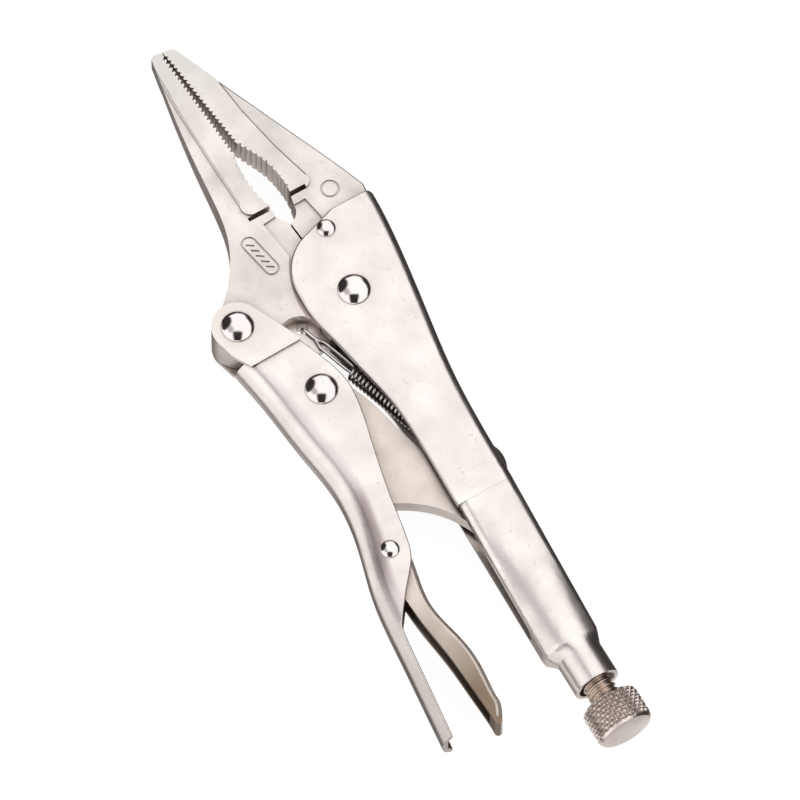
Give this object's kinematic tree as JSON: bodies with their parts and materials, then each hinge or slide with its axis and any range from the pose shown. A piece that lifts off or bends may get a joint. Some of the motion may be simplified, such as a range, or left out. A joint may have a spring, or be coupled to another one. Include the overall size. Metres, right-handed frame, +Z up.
{
  "type": "locking pliers",
  "caption": "Long-nose locking pliers with serrated jaws, an over-centre toggle between two pressed handles, a release lever and a knurled adjusting screw.",
  "frame": {"origin": "middle of the bounding box, at the height of the surface the tool lies on", "axes": "+X from the nose to the adjusting knob, along the screw; +Y towards the fixed handle's back; +Z up, square to the flat sides"},
  "size_m": [0.2252, 0.062, 0.017],
  "materials": {
    "handle_sheet": "nickel plated pressed steel, satin",
    "jaw_forging": "nickel plated forged steel, satin, slightly pebbled",
    "link_plate": "nickel plated stamped plate, satin",
    "lever_sheet": "nickel plated pressed steel, satin",
    "rivet": "nickel plated, polished dome",
    "screw": "nickel plated turned steel, knurled",
    "spring_wire": "bright spring wire"
  },
  "bodies": {
    "fixed_side": {"fixed_handle": "handle_sheet", "fixed_jaw": "jaw_forging", "main_pivot_rivet": "rivet", "jaw_fixing_rivet": "rivet", "spring": "spring_wire"},
    "movable_jaw_body": {"movable_jaw": "jaw_forging"},
    "movable_handle_body": {"movable_handle": "handle_sheet", "jaw_handle_rivet": "rivet", "link_rivet": "rivet", "lever_rivet": "rivet", "link_spacer_upper": "link_plate", "link_spacer_lower": "link_plate"},
    "toggle_link": {"link_plate_upper": "link_plate", "link_plate_lower": "link_plate"},
    "lever_body": {"release_lever": "lever_sheet"},
    "screw_body": {"adjusting_screw": "screw"}
  },
  "joints": [
    {"name": "jaw_pivot", "type": "hinge", "parent": "fixed_side", "child": "movable_jaw_body", "pos_m": [-0.0276, 0.01255, 0.0085], "axis": [0, 0, 1], "range_deg": [0, 24], "deforming": ["spring"]},
    {"name": "handle_pivot", "type": "hinge", "parent": "movable_jaw_body", "child": "movable_handle_body", "pos_m": [-0.0335, -0.01895, 0.0085], "axis": [0, 0, -1], "range_deg": [0, 77.76]},
    {"name": "link_pivot", "type": "hinge", "parent": "movable_handle_body", "child": "toggle_link", "pos_m": [-0.0077, -0.00875, 0.0085], "axis": [0, 0, 1], "range_deg": [0, 83.04]},
    {"name": "lever_pivot", "type": "hinge", "parent": "movable_handle_body", "child": "lever_body", "pos_m": [0.0401, -0.01605, 0.0085], "axis": [0, 0, -1], "range_deg": [0, 11]},
    {"name": "screw_travel", "type": "slide", "parent": "fixed_side", "child": "screw_body", "axis": [1, 0, 0], "range_m": [0, 0.015]}
  ],
  "couplings": [
    {"joint": "handle_pivot", "follows": "jaw_pivot", "ratio": 3.24},
    {"joint": "link_pivot", "follows": "jaw_pivot", "ratio": 3.46}
  ]
}
